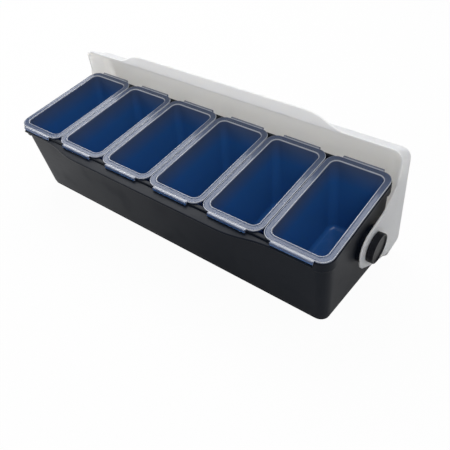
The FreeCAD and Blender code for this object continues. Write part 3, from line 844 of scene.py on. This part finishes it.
@dataclass(frozen=True)
class Tub:
    """Black tub: a shell with a rounded rim, a wavy front lip, corner skirts and a hinge boss at each end."""

    inner: Taper = Taper((220.0, 63.328, 9.2), 6.0, (223.5, 65.5, 10.2))
    outer: Taper = Taper((222.8, 66.128, 12.0), 3.0, (226.3, 68.3, 13.0))
    mouth: Triple = (223.5, 65.5, 10.2)
    rim_width: float = 5.0
    rim_thickness: float = 3.0
    rim_edge: float = 1.3
    rim_under_edge: float = 0.6
    mouth_edge: float = 0.8
    cove: float = 3.0
    cove_share: float = 0.028
    plinth_inset: float = 1.2
    lip: WavyLip = WavyLip(
        root=66.9, near=74.5, far=83.5, half_flat=105.0, run=70.0, half=213.0, low=-4.6, high=-2.0, nose=1.15,
        points=143)
    skirt_front: float = 16.0
    skirt_side: float = 27.5
    skirt_depth: float = 13.0
    skirt_slant: float = 9.5
    skirt_step: float = 5.5
    skirt_tip: float = 0.4
    skirt_sink: float = 0.03
    skirt_top: float = -1.5
    skirt_root: float = 3.6
    skirt_edge: float = 0.9
    boss_root: float = 223.3
    boss_face: float = 229.5
    boss_radius: float = 21.0
    boss_edge: float = 0.8
    bore_bevel: float = 0.3
    bore_radius: float = 4.52
    bore_end: float = 223.7

    def _rim_loops(self, out: np.ndarray, level: np.ndarray) -> np.ndarray:
        """Loops round the mouth at distances out from it, at heights above the rim plane."""
        loops = rounded_loops(*(size + out for size in self.mouth))
        return RIM.place(loops[..., 0], loops[..., 1], level[:, None])

    def _shell(self) -> bpy.types.Mesh:
        """Closed shell: floor cove, inside wall, rounded rim, outside wall, heel and plinth.

        Every loop is a rounded rectangle. The cove and the rim's edges are quarter circles, and the walls
        are straight between the level foot and the sloping rim.

        Returns:
            The mesh of the shell.
        """
        cos, sin = bend(0.0, 90.0)
        width, edge, under = self.rim_width, self.rim_edge, self.rim_under_edge
        rows = [
            self.inner.loops(self.cove_share * (1 - cos), self.cove * (1 - sin)),
            self.inner.loops(INSIDE_SHARES, 0.0),
            self._rim_loops(self.mouth_edge * (1 - cos), self.mouth_edge * (sin - 1)),
            self._rim_loops(width - edge + edge * sin, edge * (cos - 1)),
            self._rim_loops(width - under + under * cos, under * (1 - sin) - self.rim_thickness),
            self._rim_loops(RIM_FOOT[:, 0], RIM_FOOT[:, 1]),
            self.outer.loops(OUTSIDE_ROWS[:, 0], OUTSIDE_ROWS[:, 1]),
        ]
        inset = self.plinth_inset + PLINTH[:, 0]
        flat = rounded_loops(*(size - inset for size in self.outer.low))
        level = np.broadcast_to(PLINTH[:, 1:], flat.shape[:2])
        rows.append(np.concatenate([flat, level[..., None]], axis=-1) * MM)
        return Skin().tube(np.concatenate(rows)).mesh("tub_shell")

    def _lip(self) -> bpy.types.Mesh:
        """Wavy lip along the front."""
        along, out, level = self.lip.sections()
        return Skin().tube(RIM.place(along, -out, level)).mesh("tub_lip")

    def _skirt(self, side: Side, end: End) -> bpy.types.Mesh:
        """Corner skirt: a hanging section carried round the rim's corner, cut off on a slant along the end.

        The path is a short run, a quarter circle and a run. At each point the section stands on the
        inward normal, and its depth falls off over the slant at the end of the last run.

        Args:
            side: end of the row.
            end: front or back.

        Returns:
            The mesh of the skirt.
        """
        radius = self.mouth[2] + self.rim_width
        half_x, half_t = self.mouth[0] + self.rim_width, self.mouth[1] + self.rim_width
        cos, sin = bend(90.0, 0.0, 12)
        run = self.skirt_side - np.array([self.skirt_slant, self.skirt_step, self.skirt_tip, 0.0])
        x = np.concatenate([[half_x - self.skirt_front], half_x - radius + radius * cos, np.full(len(run), half_x)])
        t = np.concatenate([[half_t], half_t - radius + radius * sin, half_t - run])
        normal_x = np.concatenate([[0.0], cos, np.ones(len(run))])
        normal_t = np.concatenate([[1.0], sin, np.zeros(len(run))])
        left = np.concatenate([np.full(len(x) - len(run), self.skirt_slant), self.skirt_side - run])
        depth = self.skirt_depth - self.skirt_slant + np.minimum(left, self.skirt_slant)
        sink, edge = self.skirt_sink, self.skirt_edge
        arc_cos, arc_sin = bend(0.0, 90.0, 5)
        inward = np.concatenate([[self.skirt_root, sink], sink + edge * (1 - arc_cos), [self.skirt_root]])
        hang = np.concatenate([[0.0, 0.0], np.ones(len(arc_cos) + 1)])
        lift = np.concatenate([[self.skirt_top] * 2, edge * (1 - arc_sin), [0.0]])
        level = lift - hang * depth[:, None]
        across_x = x[:, None] - normal_x[:, None] * inward
        across_t = t[:, None] - normal_t[:, None] * inward
        rows = RIM.place(side.value * across_x, end.value * across_t, level)
        return Skin().tube(rows).mesh(f"tub_skirt_{side.name.lower()}_{end.name.lower()}")

    def _boss(self, side: Side) -> bpy.types.Mesh:
        """Round hinge boss with a blind bore: circles about the hinge axis.

        Args:
            side: end of the row.

        Returns:
            The mesh of the boss.
        """
        cos, sin = bend(90.0, 0.0, 4)
        face, edge, bore, bevel = self.boss_face, self.boss_edge, self.bore_radius, self.bore_bevel
        axial = np.concatenate([[self.bore_end, face - bevel, face], face - edge + edge * sin, [self.boss_root]])
        radius = np.concatenate([
            [bore, bore, bore + bevel], self.boss_radius - edge + edge * cos, [self.boss_radius]])
        return Skin().tube(hinge_loops(side, axial, radius)).mesh(f"tub_boss_{side.name.lower()}")

    def build(self, material: bpy.types.Material) -> bpy.types.Object:
        """Make the tub and let it stand for its solid.

        Args:
            material: finish of the tub.

        Returns:
            The tub.
        """
        skirts = [self._skirt(side, end) for side in Side for end in End]
        piece = united("black_tub", [self._shell(), self._lip(), *skirts, *(self._boss(side) for side in Side)])
        piece.data.materials.append(material)
        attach(piece, "tub_body")
        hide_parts("tub")
        return piece


# Dish of a knob, as height and radius: its edge from the face, its wall from the floor, both from the rim's inside.
DISH_EDGE = np.array([(0.0, 0.25), (-0.15, 0.0)])
DISH_WALL = np.array([(0.5, -0.6), (0.15, -1.1), (0.0, -1.9)])


@dataclass(frozen=True)
class Knob:
    """Hinge knob: a turned disc with a round raised rim and a dished face."""

    side: Side
    seat: float = 233.1
    face: float = 240.8
    radius: float = 17.0
    edge: float = 0.7
    rim: float = 1.6
    dish: float = 1.4
    dish_middle: float = 2.0
    bore_radius: float = 3.03
    bore_depth: float = 5.0

    def build(self, material: bpy.types.Material) -> bpy.types.Object:
        """Make the knob as circles about the hinge axis and let it stand for its solid.

        Args:
            material: finish of the knob.

        Returns:
            The knob.
        """
        cos, sin = bend(0.0, 90.0, 5)
        low, inner = self.face - self.dish, self.radius - self.rim
        dish = np.concatenate([DISH_EDGE + (self.face, inner), DISH_WALL + (low, inner), [(low, self.dish_middle)]])
        axial = np.concatenate([
            [self.seat + self.bore_depth, self.seat, self.seat], self.seat + self.edge * (1 - cos),
            self.face - self.edge * (1 - sin), dish[:, 0]])
        radius = np.concatenate([
            [self.bore_radius, self.bore_radius, self.radius - 2 * self.edge], self.radius - self.edge * (1 - sin),
            self.radius - self.edge * (1 - cos), dish[:, 1]])
        name = self.side.name.lower()
        turned = Skin().tube(hinge_loops(self.side, axial, radius)).mesh(f"knob_{name}_turned")
        piece = united(f"knob_{name}", [turned])
        piece.data.materials.append(material)
        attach(piece, "tub_body")
        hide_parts(f"hinge_knob_{name}")
        return piece


# Rows down the lid's walls, as shares of the way to the open edge.
WALL_SHARES = np.array([0.06, 0.5, 0.94, 0.985, 1.0])
# Corner radii of a hinge tab, in the order of its outline.
EAR_ROUNDS = np.array([0.5, 4.0, 20.0, 20.0, 20.0, 8.0, 2.0, 1.0, 1.0])


@dataclass(frozen=True)
class LidCore:
    """Sharp-cornered core of the lid: its corner lines, and the unit normals that turn round them.

    A skin point is a point of a corner line plus the skin's radius along a normal.
    """

    corner: np.ndarray
    normal: np.ndarray
    down: np.ndarray
    front: np.ndarray
    fall: float

    def wall_rows(self, radius: np.ndarray, share: np.ndarray) -> np.ndarray:
        """Rows down the walls to the open edge, which is a sloping plane.

        Args:
            radius: distance of each row from the core.
            share: share of the way down, one a row.

        Returns:
            Points in closed-lid coordinates.
        """
        start = self.corner + radius[:, None, None] * self.normal
        level = self.front[1] + self.fall * (start[..., 1] - self.front[0])
        length = (level - start[..., 2]) / (self.down[:, 2] - self.fall * self.down[:, 1])
        return start + (share[:, None] * length)[..., None] * self.down

    def fold_rows(self, radius: float, share: np.ndarray) -> np.ndarray:
        """Rows over the top edge, each normal turned a share of the way to straight up.

        Args:
            radius: distance from the core.
            share: share of the turn, one a row.

        Returns:
            Points in closed-lid coordinates.
        """
        up = np.array([0.0, 0.0, 1.0])
        swing = np.arccos(np.clip(self.normal @ up, -1, 1))[:, None]
        share = share[:, None, None]
        turned = (np.sin((1 - share) * swing) * self.normal + np.sin(share * swing) * up) / np.sin(swing)
        return self.corner + radius * turned


@dataclass(frozen=True)
class Lid:
    """Milky lid: a round-cornered tray turned over, a hinge tab at each end, and a wavy finger lip."""

    pivot_y: float = 3.00069
    pivot_z: float = 65.0032
    swing: float = math.radians(88.27329 - 11.5)
    front: Pair = (-86.3, 54.0)
    brow: Pair = (-66.3, 85.05719)
    crown: Pair = (73.3, 85.05719)
    tail: Pair = (75.3, 47.75719)
    fold: float = 12.0
    fold_rows: int = 9
    corner_points: int = 11
    wall: float = 2.2
    edge: float = 0.45
    half_inner: float = 230.6
    half_outer: float = 232.8
    tab_edge: float = 0.7
    tab_start: Pair = (-68.0, 55.6)
    shoulder: Pair = (-45.0, 48.20453)
    neck: Pair = (-29.5, 24.0)
    ear_front: Pair = (-27.0, -26.5)
    ear_heel: Pair = (10.0, -26.5)
    ear_back: Pair = (36.0, 3.0)
    tab_tail: Pair = (60.0, 45.0)
    tab_top: Pair = (60.0, 58.0)
    tab_inside: Pair = (-45.0, 64.40453)
    tab_sink: float = 0.04
    hole_radius: float = 6.08
    hole_over: float = 1.1
    finger: WavyLip = WavyLip(
        root=84.1, near=85.2, far=100.7, half_flat=118.0, run=57.0, half=177.2, low=54.0, high=56.2, nose=0.95,
        points=119)

    def place(self, x: np.ndarray, back: np.ndarray, rise: np.ndarray) -> np.ndarray:
        """Carry closed-lid coordinates to the open lid: a turn about the hinge axis.

        Args:
            x: distance along the row.
            back: distance behind the hinge axis, with the lid shut.
            rise: distance above the hinge axis, with the lid shut.

        Returns:
            Points in metres.
        """
        x, back, rise = np.broadcast_arrays(x, back, rise)
        y = self.pivot_y + back * math.cos(self.swing) + rise * math.sin(self.swing)
        z = self.pivot_z - back * math.sin(self.swing) + rise * math.cos(self.swing)
        return np.stack([x, y, z], axis=-1) * MM

    def _core(self) -> LidCore:
        """Core one fold radius inside the four walls and the top.

        Returns:
            The core. Round each corner its normal turns from one wall's to the next.
        """
        front, brow, crown, tail = (np.array(point) for point in (self.front, self.brow, self.crown, self.tail))
        lean_front = (front - brow) / np.linalg.norm(front - brow)
        lean_rear = (tail - crown) / np.linalg.norm(tail - crown)
        to_front = np.array([lean_front[1], -lean_front[0]])
        to_rear = np.array([-lean_rear[1], lean_rear[0]])
        top = brow[1] - self.fold
        core_front = (to_front @ front - self.fold - to_front[1] * top) / to_front[0]
        core_rear = (to_rear @ crown - self.fold - to_rear[1] * top) / to_rear[0]
        half = self.half_outer - self.fold
        right, ahead, behind = np.array([1.0, 0.0, 0.0]), np.array([0.0, *to_front]), np.array([0.0, *to_rear])
        first = np.stack([right, behind, -right, ahead])[:, None]
        second = np.stack([behind, -right, ahead, right])[:, None]
        turns = np.linspace(0.0, math.pi / 2, self.corner_points)[:, None]
        normal = (np.cos(turns) * first + np.sin(turns) * second).reshape(-1, 3)
        corner = np.array([
            (half, core_rear, top), (-half, core_rear, top), (-half, core_front, top), (half, core_front, top)])
        down = np.array([(0, *lean_rear), (0, *lean_rear), (0, *lean_front), (0, *lean_front)])
        corner, down = (np.repeat(rows, self.corner_points, axis=0) for rows in (corner, down))
        return LidCore(corner, normal, down, front, (tail[1] - front[1]) / (tail[0] - front[0]))

    def _tray(self) -> bpy.types.Mesh:
        """Tray: an inner and an outer skin at two distances from one core, closed round the open edge.

        Returns:
            The mesh of the tray.
        """
        core = self._core()
        over = np.linspace(1.0, 0.0, self.fold_rows)
        inside = self.fold - self.wall
        edge = np.where(WALL_SHARES == 1.0, self.edge, 0.0)
        rows = np.concatenate([
            core.fold_rows(inside, over), core.wall_rows(inside + edge, WALL_SHARES),
            core.wall_rows(self.fold - edge, WALL_SHARES)[::-1], core.fold_rows(self.fold, over[::-1])])
        return Skin().tube(self.place(rows[..., 0], rows[..., 1], rows[..., 2])).mesh("lid_tray")

    def _tab(self, side: Side) -> bpy.types.Mesh:
        """Hinge tab: one outline with round corners, drawn in on a quarter circle at both faces.

        Args:
            side: end of the row.

        Returns:
            The mesh of the tab.
        """
        corners = np.array([
            self.tab_start, self.shoulder, self.neck, self.ear_front, self.ear_heel, self.ear_back,
            self.tab_tail, self.tab_top, self.tab_inside])
        outline = rounded_outline(corners, EAR_ROUNDS, 9)
        cos, sin = bend(0.0, 90.0, 5)
        along = np.concatenate([
            self.half_inner + self.tab_edge * (1 - sin[::-1]), self.half_outer - self.tab_edge * (1 - sin)])
        along = np.clip(along, self.half_inner + self.tab_sink, self.half_outer - self.tab_sink)
        inset = self.tab_edge * (1 - np.concatenate([cos[::-1], cos]))
        plates = drawn_in(outline, inset)
        rows = self.place(side.value * along[:, None], plates[..., 0], plates[..., 1])
        return Skin().tube(rows).mesh(f"lid_tab_{side.name.lower()}")

    def _finger(self) -> bpy.types.Mesh:
        """Finger lip along the front edge."""
        along, out, level = self.finger.sections()
        return Skin().tube(self.place(along, -out, level)).mesh("lid_finger")

    def _hole(self) -> bpy.types.Mesh:
        """Bar through both hinge holes."""
        along = np.array([-self.hole_over, self.hole_over]) * self.half_outer
        return Skin().tube(hinge_loops(Side.RIGHT, along, np.full(2, self.hole_radius))).mesh("lid_hole")

    def build(self, material: bpy.types.Material) -> bpy.types.Object:
        """Make the lid and let it stand for its solid.

        Args:
            material: finish of the lid.

        Returns:
            The lid.
        """
        meshes = [self._tray(), *(self._tab(side) for side in Side), self._finger()]
        piece = united("milky_lid", meshes, [self._hole()])
        piece.data.materials.append(material)
        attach(piece, "lid_body")
        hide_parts("lid")
        return piece


def view_matrix(right: np.ndarray, up: np.ndarray, back: np.ndarray, place: Triple) -> Matrix:
    """World matrix of a camera or lamp.

    Args:
        right: unit axis to its right.
        up: unit axis upwards.
        back: unit axis away from what it looks at.
        place: where it stands.

    Returns:
        The matrix, with the axes as columns.
    """
    turned = np.eye(4)
    turned[:3, :3] = np.stack([right, up, back], axis=1)
    turned[:3, 3] = place
    return Matrix(turned.tolist())


@dataclass(frozen=True)
class Softbox:
    """Square lamp that looks at a point."""

    name: str
    place: Triple
    target: Triple
    size: float
    watts: float

    def build(self) -> bpy.types.Object:
        """Make the lamp and turn it to its target.

        Returns:
            The lamp.
        """
        data = bpy.data.lights.new(self.name, "AREA")
        data.shape = "SQUARE"
        data.size = self.size
        data.energy = self.watts
        lamp = bpy.data.objects.new(self.name, data)
        toward = np.array(self.target) - np.array(self.place)
        back = -toward / np.linalg.norm(toward)
        right = np.cross((0.0, 0.0, 1.0), back)
        right = right / np.linalg.norm(right)
        lamp.matrix_world = view_matrix(right, np.cross(back, right), back, self.place)
        bpy.context.scene.collection.objects.link(lamp)
        return lamp


LAMPS = (
    Softbox("key_softbox", (-0.95, 0.8, 1.65), (0.0, 0.0, 0.1), 1.5, 34.0),
    Softbox("left_softbox", (-1.5, -0.7, 0.35), (0.0, 0.0, 0.08), 1.3, 14.0),
    Softbox("front_softbox", (1.1, -1.4, 1.8), (0.0, 0.05, 0.12), 1.4, 17.0),
    Softbox("right_softbox", (0.75, -0.15, 1.7), (0.0, 0.0, 0.08), 0.9, 7.0),
)


@dataclass(frozen=True)
class Studio:
    """Pale floor, soft lamps, white surround and the photograph's viewpoint."""

    sensor: float = 36.0
    nearest: float = 0.01
    lens: float = 42.45
    shift_x: float = 0.0021
    shift_y: float = -0.0104
    eye: Triple = (0.36876, -0.42646, 0.41922)
    right: Triple = (0.79102, 0.61178, 0.00208)
    up: Triple = (-0.37116, 0.47720, 0.79657)
    back: Triple = (0.48633, -0.63087, 0.60455)
    fill: float = 0.36
    gloss: float = 0.3
    floor_half: float = 6.0
    floor_drop: float = 0.0002
    floor_matt: float = 0.62
    floor_white: float = 0.96
    # Glow share in mirrored rays at both ends of a span along x: a painted reflection on the tub's front.
    floor_painted_reflection: Pair = (0.95, 0.03)
    floor_painted_reflection_span: Pair = (-0.34, 0.06)

    def camera(self) -> bpy.types.Object:
        """Make the camera at the photograph's angle.

        Returns:
            The camera.
        """
        data = bpy.data.cameras.new("camera")
        data.sensor_width = self.sensor
        data.lens = self.lens
        data.shift_x = self.shift_x
        data.shift_y = self.shift_y
        data.clip_start = self.nearest
        made = bpy.data.objects.new("camera", data)
        made.matrix_world = view_matrix(np.array(self.right), np.array(self.up), np.array(self.back), self.eye)
        bpy.context.scene.collection.objects.link(made)
        bpy.context.scene.camera = made
        return made

    @staticmethod
    def seen(tree: Tree, clear: float, mirrored: float | bpy.types.NodeSocket) -> bpy.types.NodeSocket:
        """Share by the kind of ray, zero for kinds that are not named.

        Args:
            tree: tree that takes the nodes.
            clear: share for rays from the eye or through clear plastic.
            mirrored: share for mirrored rays.

        Returns:
            The socket of the share.
        """
        path = tree.add("ShaderNodeLightPath")
        direct = tree.math("MAXIMUM", path.outputs["Is Camera Ray"], path.outputs["Is Transmission Ray"])
        shine = tree.math("MULTIPLY", path.outputs["Is Glossy Ray"], mirrored)
        return tree.math("MAXIMUM", tree.math("MULTIPLY", direct, clear), shine)

    def surround(self) -> None:
        """White to the eye, dimmer as a lamp."""
        world = bpy.data.worlds.new("surround")
        bpy.context.scene.world = world
        world.use_nodes = True
        world.node_tree.nodes.clear()
        tree = Tree(world.node_tree)
        strength = tree.math("MAXIMUM", self.seen(tree, 1.0, self.gloss), self.fill)
        light = tree.add("ShaderNodeBackground", {"Color": WHITE, "Strength": strength})
        out = tree.add("ShaderNodeOutputWorld")
        world.node_tree.links.new(light.outputs[0], out.inputs[0])

    def floor(self) -> bpy.types.Object:
        """Flat pale floor that glows white to the eye and still takes a faint shadow.

        In mirrored rays the glow fades from left to right, a painted reflection that makes the tub's front lighter at
        its left end and darker along the row.

        Returns:
            The floor.
        """
        edge = np.array([-1.0, 1.0]) * self.floor_half
        x, y = np.meshgrid(edge, edge)
        points = np.stack([x, y, np.full_like(x, -self.floor_drop)], axis=-1)
        made = bpy.data.objects.new("floor", Skin().grid(points, wrap=False).mesh("floor"))
        material = bpy.data.materials.new("pale_floor")
        material.use_nodes = True
        material.node_tree.nodes.clear()
        tree = Tree(material.node_tree)
        matt = tree.add("ShaderNodeBsdfDiffuse", {"Color": (*(self.floor_matt,) * 3, 1.0)})
        glow = tree.add("ShaderNodeEmission", {"Color": WHITE})
        along = tree.add("ShaderNodeSeparateXYZ", {0: tree.add("ShaderNodeTexCoord").outputs["Object"]})
        # Painted reflection: in mirrored rays the floor glows by its place along x, most at the left.
        painted_fade = tree.add("ShaderNodeMapRange", {
            "Value": along.outputs["X"], "From Min": self.floor_painted_reflection_span[0], "From Max": self.floor_painted_reflection_span[1],
            "To Min": self.floor_painted_reflection[0], "To Max": self.floor_painted_reflection[1]})
        share = self.seen(tree, self.floor_white, painted_fade.outputs[0])
        both = tree.add("ShaderNodeMixShader", {0: share, 1: matt.outputs[0], 2: glow.outputs[0]})
        out = tree.add("ShaderNodeOutputMaterial")
        material.node_tree.links.new(both.outputs[0], out.inputs[0])
        made.data.materials.append(material)
        bpy.context.scene.collection.objects.link(made)
        return made

    def build(self) -> None:
        """Set up the whole studio."""
        bpy.context.scene.view_settings.view_transform = "Standard"
        self.camera()
        self.surround()
        self.floor()
        for lamp in LAMPS:
            lamp.build()


def main() -> None:
    """Build the holder's pieces in order, dress the solids that stay, and set up the studio."""
    logging.basicConfig(level=logging.INFO)
    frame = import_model()
    effects = Effects()
    materials = {slot: finish.build(effects) for slot, finish in FINISHES.items()}
    pieces = [Tub().build(materials["tub_black"]), Lid().build(materials["lid_milky"])]
    pieces += [Knob(side).build(materials["knob_black"]) for side in Side]
    pieces += [Pan(number).build(materials["insert_tint"]) for number in range(1, PAN_COUNT + 1)]
    for piece in pieces:
        LOG.info("%s: %d vertices", piece.name, len(piece.data.vertices))
    for part in frame["record"]["subparts"]:
        node = frame["nodes"][part["node"]]
        node.data.materials.clear()
        node.data.materials.append(materials[part["material_slot"]])
        LOG.info("%s: %s", part["node"], part["material_slot"])
    Studio().build()


if __name__ == "__main__":
    main()
